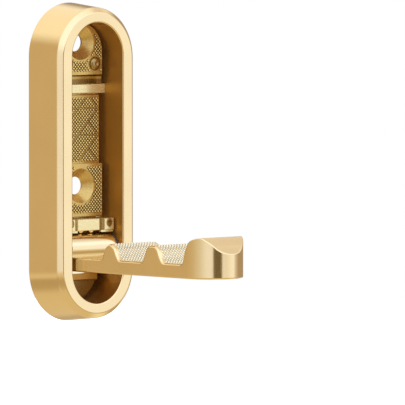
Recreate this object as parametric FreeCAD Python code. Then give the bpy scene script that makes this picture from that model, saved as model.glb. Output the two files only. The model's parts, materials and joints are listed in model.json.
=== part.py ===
import FreeCAD, Part
import os

# Fold-out wall hook. Units mm, +Z up, wall plane Y=0, front towards -Y.
# The origin is the centre of the housing's wall face.

# Length by which a cutting body runs past the face it cuts
TOOL_OVERRUN = 1.0
POINT_TOLERANCE = 0.01

# Housing
HOUSING_HEIGHT = 100.0
HOUSING_WIDTH = 33.4
HOUSING_DEPTH = 14.0
SIDE_DRAFT = 0.75
END_DRAFT = 1.45
FRONT_EDGE_RADIUS = 1.8
OPENING_WIDTH = 21.2
OPENING_HEIGHT = 87.9
OPENING_CHAMFER = 0.25
POCKET_DEPTH = 1.4
SLIDE_GAP = 0.1

# Back plate and its raised faces
PLATE_WIDTH = 18.0
PLATE_HEIGHT = 86.6
PLATE_LIFT = 0.3
PLATE_LEVEL = 3.2
FLANGE_GAP = 0.3
FLANGE_LEVEL = 1.2
PAD_LEVEL = 4.4
BOSS_LEVEL = 5.9
PAD_BOTTOM = -0.5
PAD_TOP = 20.9
LOWER_BOSS_BOTTOM = -17.0
UPPER_BOSS_BOTTOM = 27.4
EDGE_STRIP_WIDTH = 2.1
EDGE_STRIP_LEVEL = 5.6
LOWER_HOLE_Z = -7.4
UPPER_HOLE_Z = 37.5
WALL_HOLE_RADIUS = 2.8
COUNTERSINK_RADIUS = 5.45
REAR_RECESS_RADIUS = 5.3
REAR_RECESS_DEPTH = 2.7

# Domed studs in the upper boss, on which the folded arm rests
STUD_X = 5.8
STUD_Z = 30.8
STUD_HEAD_RADIUS = 2.15
STUD_HEAD_HEIGHT = 1.1
STUD_SHANK_RADIUS = 1.2

# Cross bar
CROSS_BAR_BOTTOM = 21.45
CROSS_BAR_HEIGHT = 3.05
CROSS_BAR_FRONT = 5.5
CROSS_BAR_ROUND = 0.4
BAR_HALF_LENGTH = 11.8

# Hinge
PIVOT_Y = -7.9
PIVOT_Z = -26.7
BARREL_RADIUS = 4.4
BARREL_HALF_LENGTH = 9.4
PIN_RADIUS = 2.0
PIN_HALF_LENGTH = 14.4
PIN_SLOT_END = 14.7
PIN_CHAMFER = 0.3
BUSH_RADIUS = 3.0
BUSH_START = 5.0
BUSH_FLANGE_RADIUS = 3.9
BUSH_FLANGE = 0.5
BARREL_BORE_RADIUS = 2.3
RUNNING_GAP = 0.05
WASHER_THICKNESS = 0.5
KEEPER_FRONT = 5.7

# Arm
ARM_HALF_WIDTH = 9.95
ARM_BOTTOM = -33.6
ARM_TOP = -29.2
ARM_TIP_Y = -75.6
HEEL_Y = -5.2
ARM_EDGE_RADIUS = 0.5
RIB_TOP = -24.2
RIB_ONE_BASE = (-26.6, -34.5)
RIB_TWO_BASE = (-44.8, -54.5)
RIB_STEEP_LEAN = 1.0
RIB_LEAN = 2.1
RIB_ROUND = 2.1
RIB_TWO_ROUND = 1.8
TIP_BASE_Y = -62.9
TIP_LEAN = 1.7
TIP_TOP = -20.9
TIP_ROUND = 3.0
CREST_Y = -70.9
CREST_ROUND = 2.0
NOSE_TOP = -26.0

# Detent above the hinge barrel
DETENT_BOTTOM = -21.3
DETENT_HEIGHT = 3.7
DETENT_FRONT = 8.9
DETENT_FACE = 9.7
DETENT_FACE_HALF = 4.6
SMALL_CHAMFER = 0.2
BALL_X = 2.2
BALL_RADIUS = 1.25
BALL_GAP = 0.1
BALL_TOUCH_GAP = 0.05
SPRING_WIRE_RADIUS = 0.16
SPRING_COIL_RADIUS = 0.95
SPRING_TURNS = 2.5
BORE_ROOF = 0.4
CLAMP_INNER = 6.2
CLAMP_OUTER = 10.0
CLAMP_FRONT = 10.4
CLAMP_LIP_INNER = 4.9
CLAMP_LIP_HEIGHT = 0.6
CLAMP_LIP_FRONT = 9.9
CLAMP_SCREW_X = 8.1
CLAMP_SCREW_Z = -19.0
CLAMP_HEAD_RADIUS = 1.3
CLAMP_HEAD_DEPTH = 1.1
SOCKET_RADIUS = 0.7
SOCKET_DEPTH = 0.6
CLAMP_HEAD_SINK = 0.2
CLAMP_THREAD = 2.5
DETENT_THREAD_END = 6.9

# Arm stop
STOP_HALF_WIDTH = 8.2
STOP_BOTTOM = -37.3
STOP_TOP = -31.5
STOP_FRONT = 4.9
STOP_CHAMFER = 0.6

# Flat-head screws put in from the wall side
SCREW_SLOT_DEPTH = 0.35
SCREW_SLOT_HALF = 0.2
THREAD_ROOF = 0.5
REAR_HEAD_RADIUS = 1.9
REAR_SHANK_RADIUS = 1.0
CROSS_SCREW_X = 6.0
DETENT_SCREW_X = 5.0
STOP_SCREW_X = 5.0


def vec(x, y, z):
    return FreeCAD.Vector(x, y, z)


def slab(x0, x1, y0, y1, z0, z1):
    return Part.makeBox(x1 - x0, y1 - y0, z1 - z0, vec(x0, y0, z0))


def obround_wire(width, height, y):
    r = width / 2
    z = height / 2 - r
    right = Part.LineSegment(vec(r, y, -z), vec(r, y, z)).toShape()
    top = Part.Arc(vec(r, y, z), vec(0, y, z + r), vec(-r, y, z)).toShape()
    left = Part.LineSegment(vec(-r, y, z), vec(-r, y, -z)).toShape()
    bottom = Part.Arc(vec(-r, y, -z), vec(0, y, -z - r), vec(r, y, -z)).toShape()
    return Part.Wire([right, top, left, bottom])


def obround(width, height, back, front):
    face = Part.Face(obround_wire(width, height, -back))
    return face.extrude(vec(0, back - front, 0))


def plate_layer(back, front):
    return obround(PLATE_WIDTH, PLATE_HEIGHT, back, front).translate(vec(0, 0, PLATE_LIFT))


def rod_x(radius, x0, x1, y, z):
    return Part.makeCylinder(radius, x1 - x0, vec(x0, y, z), vec(1, 0, 0))


def rod_y(radius, back, front, x, z):
    return Part.makeCylinder(radius, front - back, vec(x, -back, z), vec(0, -1, 0))


def both_sides(x, make):
    return Part.makeCompound([make(-x), make(x)])


def prism_x(points, half_width):
    corners = [vec(-half_width, y, z) for y, z in points]
    face = Part.Face(Part.makePolygon(corners + corners[:1]))
    return face.extrude(vec(2 * half_width, 0, 0))


def edges_at(shape, test):
    return [e for e in shape.Edges if all(test(v.Point) for v in e.Vertexes)]


def near(a, b):
    return abs(a - b) < POINT_TOLERANCE


def round_ridge(shape, y, z, radius):
    picked = edges_at(shape, lambda p: near(p.y, y) and near(p.z, z))
    return shape.makeFillet(radius, picked)


def rear_screw(x, z, front):
    head_depth = REAR_HEAD_RADIUS - REAR_SHANK_RADIUS
    head = Part.makeCone(REAR_HEAD_RADIUS, REAR_SHANK_RADIUS, head_depth, vec(x, 0, z), vec(0, -1, 0))
    slot = slab(x - REAR_HEAD_RADIUS, x + REAR_HEAD_RADIUS, -SCREW_SLOT_DEPTH, TOOL_OVERRUN,
                z - SCREW_SLOT_HALF, z + SCREW_SLOT_HALF)
    return head.fuse(rod_y(REAR_SHANK_RADIUS, 0, front, x, z)).cut(slot).removeSplitter()


def rear_hole(x, z, front):
    head_depth = REAR_HEAD_RADIUS - REAR_SHANK_RADIUS
    head = Part.makeCone(REAR_HEAD_RADIUS + RUNNING_GAP, REAR_SHANK_RADIUS + RUNNING_GAP,
                         head_depth, vec(x, 0, z), vec(0, -1, 0))
    return head.fuse(rod_y(REAR_SHANK_RADIUS + RUNNING_GAP, -TOOL_OVERRUN, front, x, z))


def thread_holes(x, z, front):
    return both_sides(x, lambda side_x: rod_y(REAR_SHANK_RADIUS, 0, front, side_x, z))


def bar_pocket(z0, z1, front):
    reach = OPENING_WIDTH / 2 + POCKET_DEPTH
    return slab(-reach, reach, -front - SLIDE_GAP, TOOL_OVERRUN, z0 - SLIDE_GAP, z1 + SLIDE_GAP)


def make_housing():
    front_width = HOUSING_WIDTH - 2 * SIDE_DRAFT
    front_height = HOUSING_HEIGHT - 2 * END_DRAFT
    outline = [obround_wire(HOUSING_WIDTH, HOUSING_HEIGHT, 0)]
    outline.append(obround_wire(front_width, front_height, -HOUSING_DEPTH))
    body = Part.makeLoft(outline, True, True)
    front_edges = edges_at(body, lambda p: near(p.y, -HOUSING_DEPTH))
    body = body.makeFillet(FRONT_EDGE_RADIUS, front_edges)
    body = body.cut(obround(OPENING_WIDTH, OPENING_HEIGHT, -TOOL_OVERRUN, HOUSING_DEPTH + TOOL_OVERRUN))
    inner = edges_at(body, lambda p: near(p.y, -HOUSING_DEPTH)
                     and abs(p.x) < OPENING_WIDTH / 2 + POINT_TOLERANCE
                     and abs(p.z) < OPENING_HEIGHT / 2 + POINT_TOLERANCE)
    body = body.makeChamfer(OPENING_CHAMFER, inner)
    body = body.cut(bar_pocket(CROSS_BAR_BOTTOM, CROSS_BAR_BOTTOM + CROSS_BAR_HEIGHT, CROSS_BAR_FRONT))
    body = body.cut(bar_pocket(DETENT_BOTTOM, DETENT_BOTTOM + DETENT_HEIGHT, DETENT_FRONT))
    slot_half = PIN_RADIUS + RUNNING_GAP
    body = body.cut(rod_x(slot_half, -PIN_SLOT_END, PIN_SLOT_END, PIVOT_Y, PIVOT_Z))
    slot = slab(-PIN_SLOT_END, PIN_SLOT_END, PIVOT_Y, TOOL_OVERRUN, PIVOT_Z - slot_half, PIVOT_Z + slot_half)
    return body.cut(slot)


def wall_hole(z):
    sink = COUNTERSINK_RADIUS - WALL_HOLE_RADIUS
    cone = Part.makeCone(COUNTERSINK_RADIUS, WALL_HOLE_RADIUS, sink, vec(0, -BOSS_LEVEL, z), vec(0, 1, 0))
    return cone.fuse(rod_y(WALL_HOLE_RADIUS, -TOOL_OVERRUN, BOSS_LEVEL, 0, z))


def stud_hole(x):
    return rod_y(STUD_SHANK_RADIUS, -TOOL_OVERRUN, BOSS_LEVEL + TOOL_OVERRUN, x, STUD_Z)


def stud_holes():
    return both_sides(STUD_X, stud_hole)


def make_back_plate():
    half = PLATE_WIDTH / 2
    flange = obround(OPENING_WIDTH - 2 * FLANGE_GAP, OPENING_HEIGHT - 2 * FLANGE_GAP, 0, FLANGE_LEVEL)
    body = flange.fuse(plate_layer(0, PLATE_LEVEL))
    body = body.fuse(slab(-half, half, -PAD_LEVEL, -PLATE_LEVEL, PAD_BOTTOM, PAD_TOP))
    body = body.fuse(slab(-half, half, -BOSS_LEVEL, -PLATE_LEVEL, LOWER_BOSS_BOTTOM, PAD_BOTTOM))
    strip_bottom = CROSS_BAR_BOTTOM + CROSS_BAR_HEIGHT + SLIDE_GAP
    for x0, x1 in ((-half, EDGE_STRIP_WIDTH - half), (half - EDGE_STRIP_WIDTH, half)):
        body = body.fuse(slab(x0, x1, -EDGE_STRIP_LEVEL, -PLATE_LEVEL, strip_bottom, UPPER_BOSS_BOTTOM))
    body = body.cut(wall_hole(LOWER_HOLE_Z))
    body = body.cut(rod_y(WALL_HOLE_RADIUS, -TOOL_OVERRUN, BOSS_LEVEL, 0, UPPER_HOLE_Z))
    for z in (LOWER_HOLE_Z, UPPER_HOLE_Z):
        body = body.cut(rod_y(REAR_RECESS_RADIUS, -TOOL_OVERRUN, REAR_RECESS_DEPTH, 0, z))
    body = body.cut(stud_holes())
    rows = ((CROSS_SCREW_X, CROSS_BAR_BOTTOM + CROSS_BAR_HEIGHT / 2),
            (DETENT_SCREW_X, DETENT_BOTTOM + DETENT_HEIGHT / 2),
            (STOP_SCREW_X, (STOP_TOP + STOP_BOTTOM) / 2))
    for x, z in rows:
        body = body.cut(rear_hole(-x, z, PLATE_LEVEL + TOOL_OVERRUN))
        body = body.cut(rear_hole(x, z, PLATE_LEVEL + TOOL_OVERRUN))
    return body.removeSplitter()


def make_upper_boss():
    body = plate_layer(PLATE_LEVEL, BOSS_LEVEL)
    reach = PLATE_HEIGHT
    body = body.cut(slab(-reach, reach, -BOSS_LEVEL - TOOL_OVERRUN, 0, -reach, UPPER_BOSS_BOTTOM))
    body = body.cut(wall_hole(UPPER_HOLE_Z))
    return body.cut(stud_holes())


def make_stud(x):
    radius = (STUD_HEAD_RADIUS ** 2 + STUD_HEAD_HEIGHT ** 2) / (2 * STUD_HEAD_HEIGHT)
    centre = -BOSS_LEVEL - STUD_HEAD_HEIGHT + radius
    ball = Part.makeSphere(radius, vec(x, centre, STUD_Z))
    head = ball.common(rod_y(STUD_HEAD_RADIUS, BOSS_LEVEL, BOSS_LEVEL + STUD_HEAD_RADIUS, x, STUD_Z))
    return head.fuse(rod_y(STUD_SHANK_RADIUS, 0, BOSS_LEVEL, x, STUD_Z)).removeSplitter()


def make_cross_bar():
    z1 = CROSS_BAR_BOTTOM + CROSS_BAR_HEIGHT
    body = slab(-BAR_HALF_LENGTH, BAR_HALF_LENGTH, -CROSS_BAR_FRONT, -PLATE_LEVEL, CROSS_BAR_BOTTOM, z1)
    front = edges_at(body, lambda p: near(p.y, -CROSS_BAR_FRONT))
    body = body.makeFillet(CROSS_BAR_ROUND, [e for e in front if e.Length > CROSS_BAR_HEIGHT + 1])
    return body.cut(thread_holes(CROSS_SCREW_X, (CROSS_BAR_BOTTOM + z1) / 2, CROSS_BAR_FRONT - THREAD_ROOF))


def arm_profile():
    points = [(HEEL_Y, ARM_BOTTOM), (HEEL_Y, PIVOT_Z), (PIVOT_Y, PIVOT_Z), (PIVOT_Y, ARM_TOP)]
    points += [(RIB_ONE_BASE[0], ARM_TOP), (RIB_ONE_BASE[0] - RIB_STEEP_LEAN, RIB_TOP)]
    points += [(RIB_ONE_BASE[1] + RIB_LEAN, RIB_TOP), (RIB_ONE_BASE[1], ARM_TOP)]
    points += [(RIB_TWO_BASE[0], ARM_TOP), (RIB_TWO_BASE[0] - RIB_LEAN, RIB_TOP)]
    points += [(RIB_TWO_BASE[1] + RIB_LEAN, RIB_TOP), (RIB_TWO_BASE[1], ARM_TOP)]
    points += [(TIP_BASE_Y, ARM_TOP), (TIP_BASE_Y - TIP_LEAN, TIP_TOP)]
    points += [(CREST_Y, TIP_TOP), (ARM_TIP_Y, NOSE_TOP), (ARM_TIP_Y, ARM_BOTTOM)]
    return points


def nose_plan():
    root = HEEL_Y + TOOL_OVERRUN
    centre = ARM_TIP_Y + ARM_HALF_WIDTH
    low = ARM_BOTTOM - TOOL_OVERRUN
    block = slab(-ARM_HALF_WIDTH, ARM_HALF_WIDTH, centre, root, low, 0)
    cap = Part.makeCylinder(ARM_HALF_WIDTH, -low, vec(0, centre, low))
    return block.fuse(cap).removeSplitter()


def make_arm():
    body = prism_x(arm_profile(), ARM_HALF_WIDTH)
    for y in (RIB_ONE_BASE[0] - RIB_STEEP_LEAN, RIB_ONE_BASE[1] + RIB_LEAN):
        body = round_ridge(body, y, RIB_TOP, RIB_ROUND)
    for y in (RIB_TWO_BASE[0] - RIB_LEAN, RIB_TWO_BASE[1] + RIB_LEAN):
        body = round_ridge(body, y, RIB_TOP, RIB_TWO_ROUND)
    body = round_ridge(body, TIP_BASE_Y - TIP_LEAN, TIP_TOP, TIP_ROUND)
    body = round_ridge(body, CREST_Y, TIP_TOP, CREST_ROUND)
    body = body.common(nose_plan())
    clear = BARREL_RADIUS + TOOL_OVERRUN
    outer = ARM_HALF_WIDTH + TOOL_OVERRUN
    for x0, x1 in ((-outer, -BARREL_HALF_LENGTH), (BARREL_HALF_LENGTH, outer)):
        body = body.cut(slab(x0, x1, PIVOT_Y - clear, HEEL_Y + TOOL_OVERRUN, PIVOT_Z - BARREL_RADIUS, 0))
    body = body.fuse(rod_x(BARREL_RADIUS, -BARREL_HALF_LENGTH, BARREL_HALF_LENGTH, PIVOT_Y, PIVOT_Z))
    body = body.removeSplitter()
    bottom = edges_at(body, lambda p: near(p.z, ARM_BOTTOM))
    body = body.makeFillet(ARM_EDGE_RADIUS, bottom)
    body = body.cut(rod_x(BARREL_BORE_RADIUS, -ARM_HALF_WIDTH, ARM_HALF_WIDTH, PIVOT_Y, PIVOT_Z))
    for x0, x1 in ((-ARM_HALF_WIDTH, -BUSH_START), (BUSH_START, ARM_HALF_WIDTH)):
        body = body.cut(rod_x(BUSH_RADIUS, x0, x1, PIVOT_Y, PIVOT_Z))
    return body


def make_bush(side):
    sleeve = rod_x(BUSH_RADIUS, BUSH_START, BARREL_HALF_LENGTH, PIVOT_Y, PIVOT_Z)
    end = BARREL_HALF_LENGTH + BUSH_FLANGE
    flange = rod_x(BUSH_FLANGE_RADIUS, BARREL_HALF_LENGTH, end, PIVOT_Y, PIVOT_Z)
    body = sleeve.fuse(flange).cut(rod_x(PIN_RADIUS + RUNNING_GAP, 0, PIN_HALF_LENGTH, PIVOT_Y, PIVOT_Z))
    return on_side(body.removeSplitter(), side)


def on_side(shape, side):
    if side > 0:
        return shape
    return shape.mirror(vec(0, 0, 0), vec(1, 0, 0))


def make_washer(side):
    start = BARREL_HALF_LENGTH + BUSH_FLANGE + SLIDE_GAP
    body = rod_x(BUSH_FLANGE_RADIUS, start, start + WASHER_THICKNESS, PIVOT_Y, PIVOT_Z)
    hole = rod_x(PIN_RADIUS + RUNNING_GAP, 0, PIN_HALF_LENGTH, PIVOT_Y, PIVOT_Z)
    return on_side(body.cut(hole), side)


def make_pin():
    body = rod_x(PIN_RADIUS, -PIN_HALF_LENGTH, PIN_HALF_LENGTH, PIVOT_Y, PIVOT_Z)
    return body.makeChamfer(PIN_CHAMFER, [e for e in body.Edges if e.Closed])


def make_keeper(side):
    half = PIN_RADIUS - RUNNING_GAP
    inner = OPENING_WIDTH / 2 + SLIDE_GAP
    outer = PIN_SLOT_END - SLIDE_GAP
    body = slab(inner, outer, -KEEPER_FRONT, 0, PIVOT_Z - half, PIVOT_Z + half)
    return on_side(body, side)


def make_detent_bar():
    z0 = DETENT_BOTTOM
    z1 = z0 + DETENT_HEIGHT
    body = slab(-BAR_HALF_LENGTH, BAR_HALF_LENGTH, -DETENT_FRONT, -PLATE_LEVEL, z0, z1)
    face = slab(-DETENT_FACE_HALF, DETENT_FACE_HALF, -DETENT_FACE, -DETENT_FRONT, z0, z1)
    face = face.makeChamfer(SMALL_CHAMFER, edges_at(face, lambda p: near(p.y, -DETENT_FACE)))
    body = body.fuse(face).removeSplitter()
    bore = DETENT_HEIGHT - BORE_ROOF
    for x in (-BALL_X, BALL_X):
        mouth = vec(x, PIVOT_Y, z0 - TOOL_OVERRUN)
        body = body.cut(Part.makeCylinder(BALL_RADIUS + BALL_GAP, bore + TOOL_OVERRUN, mouth))
    for x in (-CLAMP_SCREW_X, CLAMP_SCREW_X):
        body = body.cut(rod_y(REAR_SHANK_RADIUS, DETENT_FRONT - CLAMP_THREAD, DETENT_FRONT, x, CLAMP_SCREW_Z))
    return body.cut(thread_holes(DETENT_SCREW_X, (z0 + z1) / 2, DETENT_THREAD_END))


def make_clamp(side):
    z1 = DETENT_BOTTOM + DETENT_HEIGHT
    block = slab(CLAMP_INNER, CLAMP_OUTER, -CLAMP_FRONT, -DETENT_FRONT, DETENT_BOTTOM, z1)
    block = block.makeChamfer(SMALL_CHAMFER, edges_at(block, lambda p: near(p.y, -CLAMP_FRONT)))
    lip = slab(CLAMP_LIP_INNER, CLAMP_OUTER, -CLAMP_LIP_FRONT, -DETENT_FRONT,
               DETENT_BOTTOM - CLAMP_LIP_HEIGHT, DETENT_BOTTOM)
    body = block.fuse(lip).removeSplitter()
    head = rod_y(CLAMP_HEAD_RADIUS + RUNNING_GAP, CLAMP_FRONT - CLAMP_HEAD_DEPTH, CLAMP_FRONT + TOOL_OVERRUN,
                 CLAMP_SCREW_X, CLAMP_SCREW_Z)
    shank = rod_y(REAR_SHANK_RADIUS + RUNNING_GAP, 0, CLAMP_FRONT, CLAMP_SCREW_X, CLAMP_SCREW_Z)
    return on_side(body.cut(head).cut(shank), side)


def make_clamp_screw(x):
    under = CLAMP_FRONT - CLAMP_HEAD_DEPTH
    top = CLAMP_FRONT - CLAMP_HEAD_SINK
    head = rod_y(CLAMP_HEAD_RADIUS, under, top, x, CLAMP_SCREW_Z)
    socket = rod_y(SOCKET_RADIUS, top - SOCKET_DEPTH, top, x, CLAMP_SCREW_Z)
    shank = rod_y(REAR_SHANK_RADIUS, DETENT_FRONT - CLAMP_THREAD, under, x, CLAMP_SCREW_Z)
    return head.cut(socket).fuse(shank).removeSplitter()


def ball_z():
    return PIVOT_Z + BARREL_RADIUS + BALL_TOUCH_GAP + BALL_RADIUS


def make_ball(x):
    return Part.makeSphere(BALL_RADIUS, vec(x, PIVOT_Y, ball_z()))


def make_spring(x):
    z0 = ball_z() + BALL_RADIUS + SPRING_WIRE_RADIUS
    z1 = DETENT_BOTTOM + DETENT_HEIGHT - BORE_ROOF - SPRING_WIRE_RADIUS
    helix = Part.makeHelix((z1 - z0) / SPRING_TURNS, z1 - z0, SPRING_COIL_RADIUS)
    ring = Part.makeCircle(SPRING_WIRE_RADIUS, vec(SPRING_COIL_RADIUS, 0, 0), vec(0, 1, 0))
    coil = Part.Wire(helix).makePipeShell([Part.Wire(ring)], True, True)
    coil.translate(vec(x, PIVOT_Y, z0))
    return coil


def make_stop():
    body = slab(-STOP_HALF_WIDTH, STOP_HALF_WIDTH, -STOP_FRONT, -PLATE_LEVEL, STOP_BOTTOM, STOP_TOP)
    low = edges_at(body, lambda p: near(p.y, -STOP_FRONT) and near(p.z, STOP_BOTTOM))
    body = body.makeChamfer(STOP_CHAMFER, low)
    return body.cut(thread_holes(STOP_SCREW_X, (STOP_TOP + STOP_BOTTOM) / 2, STOP_FRONT - THREAD_ROOF))


def rear_screws(x, z, front):
    return both_sides(x, lambda side_x: rear_screw(side_x, z, front))


def main():
    os.makedirs("parts", exist_ok=True)
    cross_z = CROSS_BAR_BOTTOM + CROSS_BAR_HEIGHT / 2
    detent_z = DETENT_BOTTOM + DETENT_HEIGHT / 2
    stop_z = (STOP_TOP + STOP_BOTTOM) / 2
    nodes = {
        "housing": make_housing(),
        "back_plate": make_back_plate(),
        "upper_boss": make_upper_boss(),
        "rest_studs": both_sides(STUD_X, make_stud),
        "cross_bar": make_cross_bar(),
        "cross_bar_screws": rear_screws(CROSS_SCREW_X, cross_z, CROSS_BAR_FRONT - THREAD_ROOF),
        "detent_bar": make_detent_bar(),
        "detent_bar_screws": rear_screws(DETENT_SCREW_X, detent_z, DETENT_THREAD_END),
        "end_clamp_left": make_clamp(-1),
        "end_clamp_right": make_clamp(1),
        "clamp_screws": both_sides(CLAMP_SCREW_X, make_clamp_screw),
        "detent_ball_left": make_ball(-BALL_X),
        "detent_ball_right": make_ball(BALL_X),
        "detent_spring_left": make_spring(-BALL_X),
        "detent_spring_right": make_spring(BALL_X),
        "arm": make_arm(),
        "hinge_pin": make_pin(),
        "hinge_bush_left": make_bush(-1),
        "hinge_bush_right": make_bush(1),
        "thrust_washer_left": make_washer(-1),
        "thrust_washer_right": make_washer(1),
        "pin_keeper_left": make_keeper(-1),
        "pin_keeper_right": make_keeper(1),
        "arm_stop": make_stop(),
        "arm_stop_screws": rear_screws(STOP_SCREW_X, stop_z, STOP_FRONT - THREAD_ROOF),
    }
    for name, shape in nodes.items():
        solids = len(shape.Solids)
        print(name, "solids", solids, "volume", round(shape.Volume, 1), "valid", shape.isValid())
        shape.exportStep(os.path.join("parts", name + ".step"))


main()
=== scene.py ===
import json
import math
import bmesh
import bpy
from mathutils import Matrix, Vector


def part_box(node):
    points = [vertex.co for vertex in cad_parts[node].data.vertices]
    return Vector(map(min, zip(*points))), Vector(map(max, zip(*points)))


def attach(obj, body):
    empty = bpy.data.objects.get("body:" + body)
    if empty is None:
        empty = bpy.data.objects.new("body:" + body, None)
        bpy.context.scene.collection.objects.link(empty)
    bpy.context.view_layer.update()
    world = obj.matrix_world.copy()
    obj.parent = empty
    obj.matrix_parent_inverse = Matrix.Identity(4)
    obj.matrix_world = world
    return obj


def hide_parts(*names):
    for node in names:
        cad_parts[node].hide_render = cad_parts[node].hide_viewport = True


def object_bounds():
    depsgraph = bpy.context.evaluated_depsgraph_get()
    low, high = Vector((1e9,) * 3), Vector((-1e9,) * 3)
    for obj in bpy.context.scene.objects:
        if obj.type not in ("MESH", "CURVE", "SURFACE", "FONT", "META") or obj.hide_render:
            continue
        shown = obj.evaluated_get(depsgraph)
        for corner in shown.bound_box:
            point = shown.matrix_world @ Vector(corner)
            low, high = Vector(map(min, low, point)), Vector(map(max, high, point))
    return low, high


# Fold-out wall hook in brushed and polished gold, on a white studio ground.
# Metres, the CAD model's frame: X across, the wall at Y 0, front towards -Y, Z up.

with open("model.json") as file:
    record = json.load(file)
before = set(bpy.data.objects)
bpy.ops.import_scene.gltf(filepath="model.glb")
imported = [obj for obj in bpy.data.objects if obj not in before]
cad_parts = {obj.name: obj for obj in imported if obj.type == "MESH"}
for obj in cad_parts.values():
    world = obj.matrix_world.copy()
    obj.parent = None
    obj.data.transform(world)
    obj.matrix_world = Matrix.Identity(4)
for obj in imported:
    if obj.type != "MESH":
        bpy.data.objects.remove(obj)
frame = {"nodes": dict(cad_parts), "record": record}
cad_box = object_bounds()

MM = 0.001
scene = bpy.context.scene

# ---------------------------------------------------------------- places from the frame

HOUSE_LOW, HOUSE_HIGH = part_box("housing")
ARM_LOW, ARM_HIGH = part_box("arm")
BOSS_LOW, BOSS_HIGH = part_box("upper_boss")
STUD_LOW, STUD_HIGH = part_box("rest_studs")
PIN_LOW, PIN_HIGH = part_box("hinge_pin")
CROSS_LOW, CROSS_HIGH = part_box("cross_bar")
DETENT_LOW, DETENT_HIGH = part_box("detent_bar")

PIVOT_Y = (PIN_LOW[1] + PIN_HIGH[1]) / 2
PIVOT_Z = (PIN_LOW[2] + PIN_HIGH[2]) / 2
BOSS_FACE = BOSS_LOW[1]

WALL_SCREWS = next(mount for mount in frame["record"]["mounts"] if mount["name"] == "wall_screws")
SCREW_REACH = WALL_SCREWS["dims"]["spacing_y_mm"] / 2 * MM
UPPER_HOLE_Z = WALL_SCREWS["pos_m"][2] + SCREW_REACH
LOWER_HOLE_Z = WALL_SCREWS["pos_m"][2] - SCREW_REACH


# ---------------------------------------------------------------- node helpers

def new_material(name):
    material = bpy.data.materials.new(name)
    material.use_nodes = True
    nodes = material.node_tree.nodes
    return material, nodes, material.node_tree.links, nodes["Principled BSDF"]


def stretched_noise(nodes, links, coords, stretch, scale, detail):
    """Noise scaled along each axis by the stretch, so the lowest number is the axis it is drawn out along."""
    mapping = nodes.new("ShaderNodeMapping")
    mapping.inputs["Scale"].default_value = stretch
    links.new(coords.outputs["Object"], mapping.inputs["Vector"])
    noise = nodes.new("ShaderNodeTexNoise")
    noise.inputs["Scale"].default_value = scale
    noise.inputs["Detail"].default_value = detail
    links.new(mapping.outputs["Vector"], noise.inputs["Vector"])
    return noise


def blend(nodes, links, factor, first, second):
    """Mix of two colours, each of them a plain colour or a node's output."""
    mix = nodes.new("ShaderNodeMix")
    mix.data_type = "RGBA"
    links.new(factor, mix.inputs[0])
    for socket, color in ((mix.inputs[6], first), (mix.inputs[7], second)):
        if isinstance(color, tuple):
            socket.default_value = (*color, 1.0)
        else:
            links.new(color, socket)
    return mix.outputs[2]


def remap(nodes, links, value, low, high, to_low, to_high):
    node = nodes.new("ShaderNodeMapRange")
    for name, number in (("From Min", low), ("From Max", high), ("To Min", to_low), ("To Max", to_high)):
        node.inputs[name].default_value = number
    links.new(value, node.inputs["Value"])
    return node.outputs["Result"]


def math_node(nodes, links, operation, value, number):
    """The operation on a value and either a number or another value."""
    node = nodes.new("ShaderNodeMath")
    node.operation = operation
    links.new(value, node.inputs[0])
    if isinstance(number, float):
        node.inputs[1].default_value = number
    else:
        links.new(number, node.inputs[1])
    return node.outputs[0]


def brushed(name, color, roughness, grain, grain_depth, metallic=1.0):
    """Brushed or cast finish: a drifting tone, and drawn-out grain in the roughness and the bump."""
    material, nodes, links, shader = new_material(name)
    coords = nodes.new("ShaderNodeTexCoord")
    shader.inputs["Metallic"].default_value = metallic
    drift = stretched_noise(nodes, links, coords, (1, 1, 1), DRIFT_SCALE, DRIFT_DETAIL)
    darker = tuple(c * (1 - DRIFT_SHARE) for c in color)
    lighter = tuple(min(1.0, c * (1 + DRIFT_SHARE)) for c in color)
    links.new(blend(nodes, links, drift.outputs["Fac"], darker, lighter), shader.inputs["Base Color"])
    brush = stretched_noise(nodes, links, coords, grain, 1.0, GRAIN_DETAIL)
    rough = remap(nodes, links, brush.outputs["Fac"], *GRAIN_SPAN,
                  roughness * (1 - GRAIN_SHARE), roughness * (1 + GRAIN_SHARE))
    links.new(rough, shader.inputs["Roughness"])
    bump = nodes.new("ShaderNodeBump")
    bump.inputs["Strength"].default_value = grain_depth
    bump.inputs["Distance"].default_value = GRAIN_HEIGHT
    links.new(brush.outputs["Fac"], bump.inputs["Height"])
    links.new(bump.outputs["Normal"], shader.inputs["Normal"])
    return material


def paint_shade_band(material, axis, low, high, tone, edge):
    """Paints shade into the material: another tone where the distance from the centre along the axis is in
    the band.
    """
    nodes = material.node_tree.nodes
    links = material.node_tree.links
    base = nodes["Principled BSDF"].inputs["Base Color"]
    color = base.links[0].from_socket
    coords = nodes.new("ShaderNodeTexCoord")
    split = nodes.new("ShaderNodeSeparateXYZ")
    links.new(coords.outputs["Object"], split.inputs["Vector"])
    away = math_node(nodes, links, "ABSOLUTE", split.outputs[axis], 0.0)
    past = remap(nodes, links, away, low - edge, low + edge, 0.0, 1.0)
    short = remap(nodes, links, away, high - edge, high + edge, 1.0, 0.0)
    links.new(blend(nodes, links, math_node(nodes, links, "MULTIPLY", past, short), color, tone), base)


# The slow drift of a paint's tone, and the fine grain in its roughness and bump
DRIFT_SCALE = 60.0
DRIFT_DETAIL = 2.0
DRIFT_SHARE = 0.06
GRAIN_DETAIL = 3.0
GRAIN_SPAN = (0.3, 0.7)
GRAIN_SHARE = 0.15
GRAIN_HEIGHT = 0.02 * MM

# Grain by axis: the axis with the lowest number is the one that it is drawn out along
BRUSHED_UP = (3000, 3000, 150)
BRUSHED_ACROSS = (150, 3000, 3000)
BAR_GRAIN = (300, 2000, 2000)
PLATE_GRAIN = (2000, 2000, 400)
INSIDE_GRAIN = (2000, 2000, 300)
STUD_GRAIN = (2000, 2000, 2000)
EVEN_GRAIN = (2500, 2500, 2500)

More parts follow.
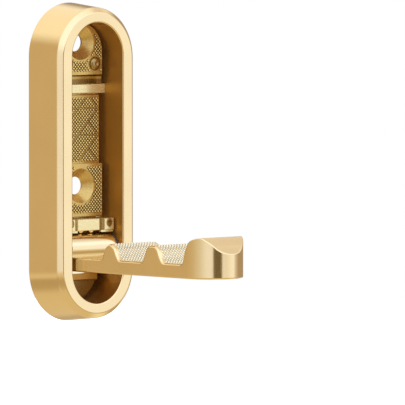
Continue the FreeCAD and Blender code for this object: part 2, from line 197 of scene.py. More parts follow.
GOLD = (0.90, 0.64, 0.30)
PLATE_COLOR = (0.68, 0.43, 0.115)
BAR_COLOR = (0.90, 0.70, 0.31)

satin = brushed("gold_satin_paint", GOLD, 0.16, BRUSHED_UP, 0.15)
# The arm's sides have their own paint, which carries painted shade at the arm's root.
arm_side = brushed("gold_arm_paint", GOLD, 0.16, BRUSHED_UP, 0.15)
bright = brushed("gold_bright_paint", (0.94, 0.74, 0.44), 0.12, BRUSHED_ACROSS, 0.05)
barrel_gold = brushed("gold_barrel_paint", (0.90, 0.66, 0.33), 0.16, BRUSHED_ACROSS, 0.05)
# Darker brown for the housing's inside walls and the arm stop's lower face: painted shade.
inside_shade = brushed("gold_inside_shade_paint", (0.56, 0.28, 0.05), 0.42, INSIDE_GRAIN, 0.2, metallic=0.84)
plate_gold = brushed("gold_plate_paint", PLATE_COLOR, 0.3, PLATE_GRAIN, 0.25, metallic=0.8)
# A copy of the plate paint for the upper boss, kept clear of the plate's painted shade bands.
boss_gold = brushed("gold_boss_paint", PLATE_COLOR, 0.3, PLATE_GRAIN, 0.25, metallic=0.8)
detent_gold = brushed("gold_bar_paint", BAR_COLOR, 0.25, BAR_GRAIN, 0.05, metallic=0.7)
clamp_gold = brushed("gold_clamp_paint", BAR_COLOR, 0.25, BAR_GRAIN, 0.05, metallic=0.7)
stud_gold = brushed("gold_stud_paint", (0.42, 0.27, 0.085), 0.28, STUD_GRAIN, 0.2)
# Knurl paints: the studs' tops take lighter copies of the gold, a painted highlight, and their skirts darker
# ones, painted shade in the grooves.
plate_knurl_lit = brushed("knurl_top_highlight_paint", (1.0, 0.68, 0.20), 0.33, EVEN_GRAIN, 0.25, metallic=0.6)
plate_groove_shade = brushed("knurl_groove_shade_paint", (0.15, 0.06, 0.006), 0.5, EVEN_GRAIN, 0.2, metallic=0.8)
notch_knurl_lit = brushed("notch_top_highlight_paint", (1.0, 0.88, 0.62), 0.35, EVEN_GRAIN, 0.25, metallic=0.7)
notch_groove_shade = brushed("notch_groove_shade_paint", (0.78, 0.60, 0.32), 0.4, EVEN_GRAIN, 0.2, metallic=0.8)
steel = brushed("steel_paint", (0.62, 0.62, 0.63), 0.3, EVEN_GRAIN, 0.2)
bush_bronze = brushed("bush_paint", (0.66, 0.50, 0.27), 0.45, EVEN_GRAIN, 0.3)
washer_plastic = brushed("washer_paint", (0.10, 0.08, 0.06), 0.7, EVEN_GRAIN, 0.2, metallic=0.0)

# Painted shade bands: paint, axis, distance from the centre where the band starts and ends, the same on both
# sides (mm), its shade tone, and its soft edge (mm)
PAINTED_SHADE_BANDS = (
    (detent_gold, "X", 4.7, 6.2, (0.34, 0.20, 0.06), 0.1),      # painted shade in the recesses beside the bar's raised face
    (plate_gold, "Z", 26.8, 27.5, (0.12, 0.07, 0.015), 0.1),    # painted shadow line at the joint under the upper boss
    (plate_gold, "Z", 24.4, 26.0, (0.34, 0.20, 0.05), 0.2),     # painted shade on the plate between that line and the cross bar
    (plate_gold, "Z", 33.0, 60.0, (0.26, 0.15, 0.04), 0.1),     # painted shade on the round lower end of the plate
    (arm_side, "Y", -10.0, 18.5, (0.60, 0.47, 0.25), 1.5),      # painted shade on the arm's root, to just past the rim
)
for paint, axis, low, high, tone, edge in PAINTED_SHADE_BANDS:
    paint_shade_band(paint, axis, low * MM, high * MM, tone, edge * MM)

SLOT_PAINT = {"gold_satin": satin, "gold_bright": bright, "gold_knurled": plate_gold,
              "brass_stud": stud_gold, "steel": steel, "bush": bush_bronze, "washer": washer_plastic}
NODE_PAINT = {"cross_bar": clamp_gold, "detent_bar": detent_gold, "end_clamp_left": clamp_gold,
              "end_clamp_right": clamp_gold, "clamp_screws": stud_gold, "upper_boss": boss_gold,
              "detent_ball_left": bright, "detent_ball_right": bright}
for name, node in frame["nodes"].items():
    for index, old in enumerate(node.data.materials):
        key = old.name.split(".")[0] if old else ""
        node.data.materials[index] = NODE_PAINT.get(name, SLOT_PAINT.get(key, satin))


# ---------------------------------------------------------------- mesh helpers

WELD = 0.004 * MM
TURNED_SIDES = 96
# Knurling: depth of a stud's foot in the face, thickness of the skin's back, size of the studs on a
# groove line, and width and height of a stud's shoulder as shares of the whole stud
KNURL_SINK = 0.04 * MM
KNURL_BACK = 0.2 * MM
GROOVE_SHARE = 0.62
SHOULDER_SHARE = 0.62
SKIRT_SHARE = 0.75


def new_piece(name, points, faces, material, body, closed=True):
    mesh = bpy.data.meshes.new(name)
    mesh.from_pydata([Vector(p) for p in points], [], faces)
    work = bmesh.new()
    work.from_mesh(mesh)
    bmesh.ops.remove_doubles(work, verts=work.verts, dist=WELD)
    bmesh.ops.dissolve_degenerate(work, edges=work.edges, dist=WELD)
    if closed:
        bmesh.ops.recalc_face_normals(work, faces=work.faces)
    work.to_mesh(mesh)
    work.free()
    mesh.materials.append(material)
    piece = bpy.data.objects.new(name, mesh)
    scene.collection.objects.link(piece)
    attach(piece, body)
    return piece


def shade_smooth(piece, sharp_angle=40.0):
    for polygon in piece.data.polygons:
        polygon.use_smooth = True
    piece.data.set_sharp_from_angle(angle=math.radians(sharp_angle))
    weighted = piece.modifiers.new("even_shading", "WEIGHTED_NORMAL")
    weighted.keep_sharp = True


def box_mesh(work, low, high):
    made = bmesh.ops.create_cube(work, size=1.0)
    for vertex in made["verts"]:
        vertex.co = Vector([low[k] + (vertex.co[k] + 0.5) * (high[k] - low[k]) for k in range(3)])


def cut_boxes(piece, boxes):
    """Cuts the boxes out of the piece, and keeps the result as its mesh."""
    mesh = bpy.data.meshes.new("cutter")
    work = bmesh.new()
    for low, high in boxes:
        box_mesh(work, low, high)
    work.to_mesh(mesh)
    work.free()
    cutter = bpy.data.objects.new("cutter", mesh)
    scene.collection.objects.link(cutter)
    cut = piece.modifiers.new("cut", "BOOLEAN")
    cut.object = cutter
    cut.operation = "DIFFERENCE"
    cut.solver = "EXACT"
    cut.use_self = True
    bpy.context.view_layer.update()
    shown = piece.evaluated_get(bpy.context.evaluated_depsgraph_get())
    piece.data = bpy.data.meshes.new_from_object(shown)
    piece.modifiers.remove(cut)
    bpy.data.objects.remove(cutter)


def turned(section, place):
    """Points and faces of a turned shape; place(along, radius, angle) puts a point of it in space."""
    points = [place(along, radius, 2 * math.pi * k / TURNED_SIDES)
              for along, radius in section for k in range(TURNED_SIDES)]
    faces = []
    for ring in range(len(section) - 1):
        for k in range(TURNED_SIDES):
            a = ring * TURNED_SIDES + k
            b = ring * TURNED_SIDES + (k + 1) % TURNED_SIDES
            faces.append((a, b, b + TURNED_SIDES, a + TURNED_SIDES))
    return points, faces


def knurl(name, place, u_range, v_range, shape, body, top_highlight_paint, groove_shade_paint, keep=None, groove_line=None):
    """Closed skin of diamond studs; place(u, v) gives a point of the face and its outward normal.

    The shape is (pitch along u, pitch along v, height). Studs on a groove line are smaller."""
    pitch_u, pitch_v, height = shape
    points = []
    faces = []
    paints = []
    corners = {}

    def corner(i, j):
        if (i, j) not in corners:
            point, normal = place(i * pitch_u / 2, j * pitch_v / 2)
            corners[i, j] = len(points)
            points.append(point - normal * KNURL_SINK)
        return corners[i, j]

    def allowed(i, j):
        u = i * pitch_u / 2
        v = j * pitch_v / 2
        fits = u_range[0] <= u <= u_range[1] and v_range[0] <= v <= v_range[1]
        return fits and (keep is None or keep(u, v))

    for i in range(math.ceil(2 * u_range[0] / pitch_u), math.floor(2 * u_range[1] / pitch_u) + 1):
        for j in range(math.ceil(2 * v_range[0] / pitch_v), math.floor(2 * v_range[1] / pitch_v) + 1):
            around = ((i - 1, j), (i, j - 1), (i + 1, j), (i, j + 1))
            if (i + j) % 2 or not all(allowed(a, b) for a, b in around):
                continue
            ring = [corner(a, b) for a, b in around]
            point, normal = place(i * pitch_u / 2, j * pitch_v / 2)
            if (points[ring[1]] - points[ring[0]]).cross(points[ring[2]] - points[ring[0]]).dot(normal) < 0:
                ring.reverse()
            size = GROOVE_SHARE if groove_line and groove_line(i, j) else 1.0
            rise = height * size
            shoulder = len(points)
            skirt = normal * rise * SKIRT_SHARE
            points += [point + (points[k] - point) * SHOULDER_SHARE * size + skirt for k in ring]
            points.append(point + normal * rise)
            for k in range(4):
                after = (k + 1) % 4
                faces.append((ring[k], ring[after], shoulder + after, shoulder + k))
                faces.append((shoulder + k, shoulder + after, shoulder + 4))
                # The skirt takes the groove paint, painted shade, and the top the top paint, a painted
                # highlight.
                paints += [1, 0]
    piece = new_piece(name, points, faces, top_highlight_paint, body, closed=False)
    piece.data.materials.append(groove_shade_paint)
    for polygon, paint in zip(piece.data.polygons, paints):
        polygon.material_index = paint
    back = piece.modifiers.new("back", "SOLIDIFY")
    back.thickness = KNURL_BACK
    back.offset = -1.0
    return piece


# ---------------------------------------------------------------- housing

DEPTH = -HOUSE_LOW[1]
SIDE_DRAFT = 0.75 * MM
END_DRAFT = 1.45 * MM
OPEN_HALF_WIDTH = 10.6 * MM
OPEN_HALF_HEIGHT = 43.95 * MM
RIM_BEVEL = 1.45 * MM
RIM_SOFT = 0.8 * MM
RIM_CRISP = 0.6 * MM
LIP_ROUND = 0.5 * MM
LIP_SHARE = 0.6
BACK_EDGE = 0.2 * MM
BACK_SOFT = 0.1 * MM
ARC_STEPS = 40
SIDE_STEPS = 16
ROUNDING = 6
SLIDE_GAP = 0.1 * MM
POCKET_DEPTH = 1.4 * MM
DETENT_SLOT_DEPTH = 8.9 * MM
PIN_HALF = 14.7 * MM


def obround_ring(half_width, half_height, depth):
    """Points round an obround, in the same order and number for every ring."""
    straight = half_height - half_width
    ring = []
    for k in range(ARC_STEPS + 1):
        angle = math.pi * k / ARC_STEPS
        ring.append(Vector((half_width * math.cos(angle), -depth, straight + half_width * math.sin(angle))))
    for k in range(1, SIDE_STEPS):
        ring.append(Vector((-half_width, -depth, straight - 2 * straight * k / SIDE_STEPS)))
    return ring + [Vector((-p.x, p.y, -p.z)) for p in ring]


def rounded_path(corners, radii):
    """A path through the corners, with an arc of the given radius at each inner one."""
    path = [Vector(corners[0])]
    for before, corner, after, radius in zip(corners, corners[1:], corners[2:], radii):
        corner = Vector(corner)
        back = (Vector(before) - corner).normalized()
        ahead = (Vector(after) - corner).normalized()
        half = back.angle(ahead) / 2
        reach = radius / math.tan(half)
        centre = corner + (back + ahead).normalized() * radius / math.sin(half)
        start = corner + back * reach - centre
        sweep = start.angle_signed(corner + ahead * reach - centre)
        for k in range(ROUNDING + 1):
            turn = -sweep * k / ROUNDING
            path.append(centre + Vector((start.x * math.cos(turn) - start.y * math.sin(turn),
                                         start.x * math.sin(turn) + start.y * math.cos(turn))))
    return path + [Vector(corners[-1])]


def make_housing():
    """Frame with a drafted outside, a bevelled rim, and slots for the bars and the hinge pin."""
    full_width = HOUSE_HIGH[0]
    full_height = HOUSE_HIGH[2]
    outer = rounded_path([(BACK_EDGE, 0.0), (0.0, BACK_EDGE), (0.0, DEPTH - RIM_BEVEL), (RIM_BEVEL, DEPTH),
                          (3 * RIM_BEVEL, DEPTH)], [BACK_SOFT, RIM_SOFT, RIM_CRISP])[:-1]
    inner = rounded_path([(2 * LIP_ROUND, DEPTH), (0.0, DEPTH), (0.0, 0.0)], [LIP_ROUND])[1:]
    rings = []
    for inset, depth in outer:
        share = depth / DEPTH
        rings.append(obround_ring(full_width - SIDE_DRAFT * share - inset,
                                  full_height - END_DRAFT * share - inset, depth))
    for outset, depth in inner:
        rings.append(obround_ring(OPEN_HALF_WIDTH + outset, OPEN_HALF_HEIGHT + outset, depth))
    around = len(rings[0])
    points = [p for ring in rings for p in ring]
    faces = []
    for r in range(len(rings)):
        after = (r + 1) % len(rings)
        for k in range(around):
            k1 = (k + 1) % around
            faces.append((r * around + k, r * around + k1, after * around + k1, after * around + k))
    piece = new_piece("housing_shell", points, faces, satin, "frame")
    piece.data.materials.append(inside_shade)
    # The inside walls, back from the lip, take the darker inside paint: painted shade of the recess.
    lip = LIP_ROUND * LIP_SHARE
    for polygon in piece.data.polygons:
        middle = polygon.center
        radial = math.hypot(middle.x, max(0.0, abs(middle.z) - OPEN_HALF_HEIGHT + OPEN_HALF_WIDTH))
        if radial < OPEN_HALF_WIDTH + lip and -middle.y < DEPTH - lip:
            polygon.material_index = 1
    boxes = []
    reach = OPEN_HALF_WIDTH + POCKET_DEPTH
    for low, high, front in ((CROSS_LOW, CROSS_HIGH, CROSS_LOW[1]),
                             (DETENT_LOW, DETENT_HIGH, -DETENT_SLOT_DEPTH)):
        boxes.append(((-reach, front - SLIDE_GAP, low[2] - SLIDE_GAP), (reach, MM, high[2] + SLIDE_GAP)))
    pin = (PIN_HIGH[2] - PIN_LOW[2]) / 2 + SLIDE_GAP / 2
    boxes.append(((-PIN_HALF, PIVOT_Y - pin, PIVOT_Z - pin), (PIN_HALF, MM, PIVOT_Z + pin)))
    cut_boxes(piece, boxes)
    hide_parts("housing")
    shade_smooth(piece, 35.0)


make_housing()

# ---------------------------------------------------------------- arm

# Side outline of the arm's upper face, (Y, Z) from root to nose: two ribs, then the raised tip with its scoop
ARM_OUTLINE = (
    (-5.2, -29.2), (-12.0, -29.2), (-20.0, -29.2), (-25.6, -29.2), (-26.5, -28.9),
    (-27.2, -26.9), (-28.4, -25.2), (-30.1, -24.4), (-32.1, -25.5), (-33.3, -27.7), (-34.3, -29.1),
    (-35.2, -29.3), (-40.0, -29.3), (-44.0, -29.3), (-44.9, -29.0),
    (-46.0, -26.6), (-47.0, -24.8), (-48.5, -24.1), (-50.5, -24.1), (-51.9, -25.0), (-53.3, -27.8),
    (-54.3, -29.0),
    (-55.2, -29.2), (-58.5, -29.2), (-62.2, -29.2), (-62.9, -28.8),
    (-63.8, -26.3), (-64.6, -24.1), (-66.0, -22.3), (-68.0, -21.3), (-70.3, -20.9),
    (-71.4, -21.5), (-72.9, -22.8), (-74.1, -24.4), (-75.0, -25.4), (-75.6, -25.8),
)
ARM_STEP = 0.25 * MM
TOP_ROUND = 0.75 * MM
NOSE_ROUND = 0.3 * MM
UNDER_ROUND = 0.5 * MM
ROUND_STEPS = 5
NOSE_TURNS = 36
# A face turned at least this much to the side takes the side's paint
SIDE_FACING = 0.8
NOSE_BLEND_START = 1.6 * MM
NOSE_BLEND_END = 1.0 * MM
ARM_KNURL = (1.15 * MM, 1.15 * MM, 0.25 * MM)
ARM_KNURL_EDGE = 0.1 * MM
ARM_KNURL_STEP = 0.05 * MM
# Name of each notch's knurled skin, and where it starts and ends along Y (mm)
NOTCH_KNURLS = (("arm_notch_knurl_inner", -28.9, -49.2), ("arm_notch_knurl_outer", -49.8, -65.0))
BARREL_RADIUS = 4.4 * MM
BARREL_HALF = 9.4 * MM
BARREL_EDGE = 0.35 * MM
BARREL_EDGE_STEPS = 5


def tangents(points):
    """Slopes for a cubic through the points that never overshoots between them."""
    runs = [(z1 - z0) / (y1 - y0) for (y0, z0), (y1, z1) in zip(points, points[1:])]
    slopes = [runs[0]]
    for before, after in zip(runs, runs[1:]):
        slopes.append(2 * before * after / (before + after) if before * after > 0 else 0.0)
    return slopes + [runs[-1]]


class Outline:
    """Height Z over Y along the arm, and its slope."""

    def __init__(self, points):
        self.points = sorted((y * MM, z * MM) for y, z in points)
        self.slopes = tangents(self.points)

    def at(self, y):
        points = self.points
        y = min(max(y, points[0][0]), points[-1][0])
        k = 0
        while k < len(points) - 2 and y > points[k + 1][0]:
            k += 1
        (y0, z0), (y1, z1) = points[k], points[k + 1]
        span = y1 - y0
        t = (y - y0) / span
        m0, m1 = self.slopes[k] * span, self.slopes[k + 1] * span
        height = (z0 * (2 * t ** 3 - 3 * t ** 2 + 1) + m0 * (t ** 3 - 2 * t ** 2 + t)
                  + z1 * (3 * t ** 2 - 2 * t ** 3) + m1 * (t ** 3 - t ** 2))
        slope = ((z0 * (6 * t ** 2 - 6 * t) + m0 * (3 * t ** 2 - 4 * t + 1)
                  + z1 * (6 * t - 6 * t ** 2) + m1 * (3 * t ** 2 - 2 * t)) / span)
        return height, slope

    def normal(self, y):
        slope = self.at(y)[1]
        return Vector((0.0, -slope, 1.0)).normalized()


def round_drop(distance, radius):
    """How far a rounded edge lies below its face, at a distance from the side."""
    if distance >= radius:
        return 0.0
    return radius - math.sqrt(max(0.0, radius ** 2 - (radius - distance) ** 2))


def smooth_step(low, high, value):
    t = min(1.0, max(0.0, (value - low) / (high - low)))
    return t * t * (3 - 2 * t)


def across(radius):
    """Places across the half width, close together in the rounded edges, from -1 to 1."""
    half = (ARM_HIGH[0] - ARM_LOW[0]) / 2
    turns = [math.pi / 2 * k / ROUND_STEPS for k in range(ROUND_STEPS + 1)]
    edge = [1 - (radius / half) * (1 - math.cos(turn)) for turn in turns]
    inner = [edge[-1] * k / 4 for k in (3, 2, 1)]
    side = edge + inner
    return [-t for t in side] + [0.0] + side[::-1]


def make_arm():
    """Arm with its upper face along the outline, and a half-round nose."""
    outline = Outline(ARM_OUTLINE)
    half = (ARM_HIGH[0] - ARM_LOW[0]) / 2
    tip = ARM_LOW[1]
    heel = outline.points[-1][0]
    under = ARM_LOW[2]
    centre = tip + half
    count = round((heel - centre) / ARM_STEP)
    stations = [heel + (centre - heel) * k / count for k in range(count)]
    stations += [centre - half * math.sin(math.pi / 2 * k / NOSE_TURNS) for k in range(NOSE_TURNS + 1)]
    places = across(TOP_ROUND)
    points = []
    for y in stations:
        width = half if y >= centre else math.sqrt(max(0.0, half ** 2 - (centre - y) ** 2))
        nose = smooth_step(centre + NOSE_BLEND_START, centre - NOSE_BLEND_END, y)
        radius = TOP_ROUND + (NOSE_ROUND - TOP_ROUND) * nose
        normal = outline.normal(y)
        lean = (normal * (1 - nose) + Vector((0, 0, 1)) * nose).normalized()
        for t in places:
            x = width * t
            gap = half - abs(x) if y >= centre else half - math.hypot(x, centre - y)
            top = Vector((x, y, outline.at(y)[0])) - lean * round_drop(max(0.0, gap), radius)
            points.append(top)
            points.append(Vector((x, y, under + round_drop(max(0.0, gap), UNDER_ROUND))))
    row = len(places)
    faces = []
    for s in range(len(stations) - 1):
        for t in range(row - 1):
            a = 2 * (s * row + t)
            b = 2 * ((s + 1) * row + t)
            faces.append((a, a + 2, b + 2, b))
            faces.append((a + 1, b + 1, b + 3, a + 3))
        for t in (0, row - 1):
            a = 2 * (s * row + t)
            b = 2 * ((s + 1) * row + t)
            faces.append((a, b, b + 1, a + 1))
    for t in range(row - 1):
        faces.append((2 * t, 2 * t + 2, 2 * t + 3, 2 * t + 1))
    piece = new_piece("arm_body", points, faces, satin, "arm")
    piece.data.materials.append(arm_side)
    for polygon in piece.data.polygons:
        polygon.material_index = 1 if abs(polygon.normal.x) > SIDE_FACING else 0
    piece.visible_glossy = False      # keeps the arm's reflection off the rim beside it
    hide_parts("arm")
    shade_smooth(piece)
    return outline


def make_arm_knurl(outline, name, y_from, y_to):
    """Knurling laid along the outline; its lattice is spaced by length along the curve."""
    step = ARM_KNURL_STEP
    lengths = [(0.0, y_from)]
    y = y_from
    while y > y_to:
        slope = outline.at(y - step / 2)[1]
        lengths.append((lengths[-1][0] + step * math.sqrt(1 + slope ** 2), y - step))
        y -= step
    total = lengths[-1][0]

    def place(u, v):
        index = min(len(lengths) - 1, max(0, round(v / total * (len(lengths) - 1))))
        while index < len(lengths) - 1 and lengths[index][0] < v:
            index += 1
        while index > 0 and lengths[index][0] > v:
            index -= 1
        y = lengths[index][1]
        return Vector((u, y, outline.at(y)[0])), outline.normal(y)

    half = (ARM_HIGH[0] - ARM_LOW[0]) / 2 - TOP_ROUND - ARM_KNURL_EDGE
    skin = knurl(name, place, (-half, half), (0.0, total), ARM_KNURL, "arm", notch_knurl_lit, notch_groove_shade)
    skin.visible_glossy = False       # as the arm's body


def make_barrel():
    """Polished hinge barrel, turned about the pin, with rounded ends."""
    length = BARREL_HALF - BARREL_EDGE
    radius = BARREL_RADIUS - BARREL_EDGE
    section = [(BARREL_HALF, 0.0), (BARREL_HALF, radius)]
    section += [(length + BARREL_EDGE * math.cos(a), radius + BARREL_EDGE * math.sin(a))
                for a in (math.pi / 2 * k / BARREL_EDGE_STEPS for k in range(1, BARREL_EDGE_STEPS + 1))]
    section = section + [(-x, r) for x, r in reversed(section)]
    points, faces = turned(section, lambda x, r, a: Vector((x, PIVOT_Y + r * math.cos(a),
                                                              PIVOT_Z + r * math.sin(a))))
    piece = new_piece("arm_barrel", points, faces, barrel_gold, "arm")
    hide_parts("arm")
    shade_smooth(piece)


arm_outline = make_arm()
for knurl_name, knurl_start, knurl_end in NOTCH_KNURLS:
    make_arm_knurl(arm_outline, knurl_name, knurl_start * MM, knurl_end * MM)
make_barrel()

# ---------------------------------------------------------------- knurled faces of the back plate

PLATE_KNURL = (1.2 * MM, 1.2 * MM, 0.34 * MM)
PAD_LEVEL = 4.4 * MM
PAD_ENDS = (-0.3 * MM, 20.9 * MM)
LOWER_BOSS_ENDS = (-16.6 * MM, -0.8 * MM)
UPPER_BOSS_ENDS = (27.8 * MM, BOSS_HIGH[2])
KNURL_MARGIN = 0.2 * MM
KNURL_HALF_WIDTH = (BOSS_HIGH[0] - BOSS_LOW[0]) / 2 + KNURL_MARGIN
ARC_Z = BOSS_HIGH[2] - KNURL_HALF_WIDTH
GROOVE_ROWS = 14
# Clear circles round the countersinks and the studs
CONE_RADIUS = 5.45 * MM
CONE_LAND = 0.1 * MM
STUD_X = 5.8 * MM
STUD_Z = (STUD_LOW[2] + STUD_HIGH[2]) / 2
STUD_CLEAR = 2.3 * MM


def flat_place(level):
    return lambda u, v: (Vector((u, level, v)), Vector((0, -1, 0)))


def outside_circle(x, z, radius):
    return lambda u, v: math.hypot(u - x, v - z) > radius


def pad_grooves(i, j):
    """Level and slanting rows of smaller studs, which split the pad's knurling into blocks."""
    level = j % GROOVE_ROWS == 0
    rising = (j - i) % GROOVE_ROWS == 0
    falling = i > GROOVE_ROWS / 2 and (j + i) % GROOVE_ROWS == 0
    return level or rising or falling


lower_hole = outside_circle(0, LOWER_HOLE_Z, CONE_RADIUS + CONE_LAND)
upper_hole = outside_circle(0, UPPER_HOLE_Z, CONE_RADIUS + CONE_LAND)
stud_left = outside_circle(-STUD_X, STUD_Z, STUD_CLEAR)
stud_right = outside_circle(STUD_X, STUD_Z, STUD_CLEAR)


def upper_keep(u, v):
    in_arc = v < ARC_Z or math.hypot(u, v - ARC_Z) < KNURL_HALF_WIDTH
    return in_arc and upper_hole(u, v) and stud_left(u, v) and stud_right(u, v)


def make_plate_knurl(name, level, ends, keep=None, groove_line=None):
    knurl(name, flat_place(level), (-KNURL_HALF_WIDTH, KNURL_HALF_WIDTH), ends, PLATE_KNURL, "frame",
          plate_knurl_lit, plate_groove_shade, keep, groove_line)


make_plate_knurl("pad_knurl", -PAD_LEVEL, PAD_ENDS, groove_line=pad_grooves)
make_plate_knurl("lower_boss_knurl", BOSS_FACE, LOWER_BOSS_ENDS, keep=lower_hole)
make_plate_knurl("upper_boss_knurl", BOSS_FACE, UPPER_BOSS_ENDS, keep=upper_keep)

# ---------------------------------------------------------------- studs and arm stop

# Shares of the stud's height or radius: its straight skirt, and the dimple's floor and width
STUD_SKIRT = 0.25
DIMPLE_FLOOR = 0.8
DIMPLE_WIDTH = 0.1
DOME_STEPS = 8
# Arm stop: depth of its step below the top, where the painted highlight above meets the painted shadow below,
# then the ease of its edges and the size and placing of its lip
STOP_STEP = 3.6 * MM
STOP_EASE = 0.4 * MM
STOP_LIP = 0.25 * MM
STOP_LIP_BELOW = 0.1 * MM
STOP_LIP_ABOVE = 0.15 * MM


def make_studs():
    """The two rest studs, with domed heads and a small dimple."""
    radius = (STUD_HIGH[2] - STUD_LOW[2]) / 2
    rise = BOSS_FACE - STUD_LOW[1]
    dome = 1 - STUD_SKIRT
    section = [(-MM, 0.0), (-MM, radius), (rise * STUD_SKIRT, radius)]
    section += [(rise * (STUD_SKIRT + dome * math.sin(a)), radius * (STUD_SKIRT + dome * math.cos(a)))
                for a in (math.pi / 2 * k / DOME_STEPS for k in range(1, DOME_STEPS + 1))]
    section += [(rise * DIMPLE_FLOOR, radius * DIMPLE_WIDTH), (rise * DIMPLE_FLOOR, 0.0)]
    points = []
    faces = []
    for side in (-1, 1):
        middle = side * (STUD_HIGH[0] - radius)
        more, skin = turned(section, lambda out, r, a: Vector((middle + r * math.cos(a), BOSS_FACE - out,
                                                               STUD_Z + r * math.sin(a))))
        faces += [tuple(k + len(points) for k in face) for face in skin]
        points += more
    piece = new_piece("stud_domes", points, faces, stud_gold, "frame")
    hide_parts("rest_studs")
    shade_smooth(piece)


def make_arm_stop():
    """Stop block under the arm: a step along its top in the bright paint, a painted highlight, over a face in
    the dark inside paint, painted shadow of the arm, with eased ends.
    """
    low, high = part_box("arm_stop")
    front, back = low[1], high[1]
    under, top = low[2], high[2]
    step = top - STOP_STEP
    section = [(back, under), (front + STOP_EASE, under), (front, under + STOP_EASE), (front, step),
               (front + STOP_LIP, step + STOP_LIP_BELOW), (front + STOP_LIP, top - STOP_LIP_ABOVE),
               (front + STOP_EASE, top), (back, top)]
    points = []
    for x, inset in ((low[0], STOP_EASE), (low[0] + STOP_EASE, 0.0),
                     (high[0] - STOP_EASE, 0.0), (high[0], STOP_EASE)):
        points += [Vector((x, min(y + inset, back), z)) for y, z in section]
    count = len(section)
    faces = [tuple(range(count)), tuple(range(3 * count, 4 * count))]
    for station in range(3):
        for k in range(count):
            a = station * count + k
            b = station * count + (k + 1) % count
            faces.append((a, b, b + count, a + count))
    piece = new_piece("arm_stop_block", points, faces, bright, "frame")
    piece.data.materials.append(inside_shade)
    # Faces below the step take painted shadow, those above it a painted highlight.
    for polygon in piece.data.polygons:
        polygon.material_index = 1 if polygon.center.z < step else 0
    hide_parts("arm_stop")


make_studs()
make_arm_stop()

# ---------------------------------------------------------------- studio

YAW = math.radians(43.0)
PITCH = math.radians(2.97)
CAMERA_DISTANCE = 2.5
CAMERA_RIGHT = 42.185 * MM
CAMERA_UP = -12.841 * MM
SENSOR = 36.0
LENS = 707.67
CLIP_START = 0.1
CLIP_END = 50.0
FLOOR_DROP = 70 * MM
FLOOR_RADIUS = 1.2
FLOOR_SIDES = 96
FLOOR_COLOR = (0.9, 0.9, 0.9)
FLOOR_ROUGHNESS = 0.9
FLOOR_GLOW = 0.6
BACKDROP_COLOR = (1.0, 1.0, 1.0)


def make_camera():
    """Long lens from the hook's front left, a little above it."""
    right = Vector((math.cos(YAW), -math.sin(YAW), 0.0))
    up = Vector((math.sin(YAW) * math.sin(PITCH), math.cos(YAW) * math.sin(PITCH), math.cos(PITCH)))
    forward = Vector((math.sin(YAW) * math.cos(PITCH), math.cos(YAW) * math.cos(PITCH), -math.sin(PITCH)))
    data = bpy.data.cameras.new("photo_camera")
    data.lens = LENS
    data.sensor_width = SENSOR
    data.clip_start = CLIP_START
    data.clip_end = CLIP_END
    camera = bpy.data.objects.new("photo_camera", data)
    turn = Matrix((right, up, -forward)).transposed().to_4x4()
    turn.translation = CAMERA_RIGHT * right + CAMERA_UP * up - CAMERA_DISTANCE * forward
    camera.matrix_world = turn
    scene.collection.objects.link(camera)
    scene.camera = camera


# Studio surround: colour by compass direction, as seen from the hook.
# 0 degrees is straight out of the wall, 90 is to the hook's left (-X).
SURROUND = (
    (-180, (0.30, 0.24, 0.15)),
    (-140, (0.40, 0.33, 0.24)),
    (-98, (0.45, 0.37, 0.31)),
    (-72, (0.46, 0.41, 0.31)),
    (-55, (0.74, 0.77, 0.98)),
    (-47, (1.10, 1.26, 1.64)),
    (-38, (1.08, 1.24, 1.60)),
    (-15, (0.92, 1.02, 1.25)),
    (34, (0.98, 1.10, 1.45)),
    (54, (0.98, 1.10, 1.45)),
    (65, (0.92, 1.04, 1.31)),
    (76, (0.83, 0.91, 1.03)),
    (88, (0.77, 0.78, 0.81)),
    (100, (0.72, 0.70, 0.64)),
    (113, (0.66, 0.60, 0.48)),
    (134, (0.64, 0.55, 0.40)),
    (180, (0.30, 0.24, 0.15)),
)
# Flag: a dark upright strip, its middle, half width and soft edge in degrees
FLAG_COLOR = (0.15, 0.12, 0.065)
FLAG_MIDDLE = 18.5
FLAG_HALF = 16.0
FLAG_SOFT = 2.5
# Colours high up: all round, towards the front, and towards the hook's right (+X)
TOP_COLOR = (1.12, 1.16, 1.22)
FRONT_TOP_COLOR = (1.25, 1.50, 2.10)
SIDE_TOP_COLOR = (0.86, 0.88, 1.00)
# Colour below the horizon, by the direction's height
BELOW = (
    (-1.00, (0.76, 0.69, 0.52)),
    (-0.64, (0.76, 0.69, 0.52)),
    (-0.52, (0.56, 0.47, 0.32)),
    (-0.34, (0.53, 0.44, 0.30)),
    (-0.27, (0.82, 0.75, 0.60)),
    (-0.18, (0.78, 0.71, 0.55)),
)
# Colour low down on the hook's right
GROUND_COLOR = (1.00, 1.00, 0.90)
# Where each of them fades in, from and to, by a component of the direction
FLAG_HEIGHTS = (0.3, 0.18)
TOP_HEIGHTS = (0.34, 0.58)
FRONT_REACH = (0.1, 0.4)
FRONT_TOP_HEIGHTS = (0.15, 0.4)
SIDE_REACH = (0.5, 0.66)
SIDE_TOP_HEIGHTS = (0.5, 0.68)
BELOW_HEIGHTS = (-0.13, -0.2)
GROUND_HEIGHTS = (-0.5, -0.68)


def color_ramp(nodes, links, value, stops):
    ramp = nodes.new("ShaderNodeValToRGB")
    links.new(value, ramp.inputs["Fac"])
    elements = ramp.color_ramp.elements
    elements.remove(elements[-1])
    elements[0].position = stops[0][0]
    elements[0].color = (*stops[0][1], 1.0)
    for place, color in stops[1:]:
        elements.new(place).color = (*color, 1.0)
    return ramp.outputs["Color"]


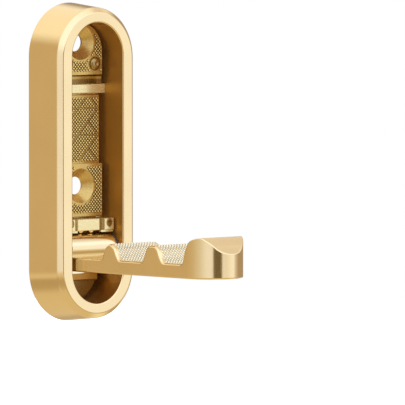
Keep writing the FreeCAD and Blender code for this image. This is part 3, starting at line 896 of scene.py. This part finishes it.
def make_world():
    """White to the camera; to everything else the surround, with a dark flag, a bright top and a ground."""
    world = bpy.data.worlds.new("studio")
    scene.world = world
    world.use_nodes = True
    nodes = world.node_tree.nodes
    links = world.node_tree.links
    background = nodes["Background"]
    coords = nodes.new("ShaderNodeTexCoord")
    split = nodes.new("ShaderNodeSeparateXYZ")
    links.new(coords.outputs["Generated"], split.inputs["Vector"])
    sideways = split.outputs["X"]
    height = split.outputs["Z"]

    def fade(value, ends):
        return remap(nodes, links, value, *ends, 0.0, 1.0)

    def both(first, second):
        return math_node(nodes, links, "MULTIPLY", first, second)

    left = both(sideways, -1.0)
    forward = both(split.outputs["Y"], -1.0)
    angle = math_node(nodes, links, "ARCTAN2", left, forward)
    position = fade(angle, (-math.pi, math.pi))
    color = color_ramp(nodes, links, position, [(degrees / 360 + 0.5, tone) for degrees, tone in SURROUND])

    offset = math_node(nodes, links, "SUBTRACT", angle, math.radians(FLAG_MIDDLE))
    away = math_node(nodes, links, "ABSOLUTE", offset, 0.0)
    level = math_node(nodes, links, "ABSOLUTE", height, 0.0)
    beside = fade(away, (math.radians(FLAG_HALF + FLAG_SOFT), math.radians(FLAG_HALF - FLAG_SOFT)))
    color = blend(nodes, links, both(beside, fade(level, FLAG_HEIGHTS)), color, FLAG_COLOR)

    color = blend(nodes, links, fade(height, TOP_HEIGHTS), color, TOP_COLOR)
    front_top = both(fade(forward, FRONT_REACH), fade(height, FRONT_TOP_HEIGHTS))
    color = blend(nodes, links, front_top, color, FRONT_TOP_COLOR)
    side = fade(sideways, SIDE_REACH)
    color = blend(nodes, links, both(side, fade(height, SIDE_TOP_HEIGHTS)), color, SIDE_TOP_COLOR)

    depth = fade(height, (-1.0, 0.0))
    below = color_ramp(nodes, links, depth, [(place + 1.0, tone) for place, tone in BELOW])
    color = blend(nodes, links, fade(height, BELOW_HEIGHTS), color, below)
    color = blend(nodes, links, both(side, fade(height, GROUND_HEIGHTS)), color, GROUND_COLOR)

    path = nodes.new("ShaderNodeLightPath")
    color = blend(nodes, links, path.outputs["Is Camera Ray"], color, BACKDROP_COLOR)
    links.new(color, background.inputs["Color"])


def make_floor():
    mesh = bpy.data.meshes.new("floor")
    height = cad_box[0][2] - FLOOR_DROP
    turns = [2 * math.pi * k / FLOOR_SIDES for k in range(FLOOR_SIDES)]
    rim = [(FLOOR_RADIUS * math.cos(a), FLOOR_RADIUS * math.sin(a), height) for a in turns]
    mesh.from_pydata(rim, [], [range(FLOOR_SIDES)])
    floor = bpy.data.objects.new("floor", mesh)
    scene.collection.objects.link(floor)
    material, nodes, links, shader = new_material("floor_paper")
    shader.inputs["Base Color"].default_value = (*FLOOR_COLOR, 1.0)
    shader.inputs["Roughness"].default_value = FLOOR_ROUGHNESS
    shader.inputs["Emission Color"].default_value = (*BACKDROP_COLOR, 1.0)
    shader.inputs["Emission Strength"].default_value = FLOOR_GLOW
    mesh.materials.append(material)
    floor.visible_glossy = False


make_camera()
make_world()
make_floor()
scene.view_settings.view_transform = "Standard"
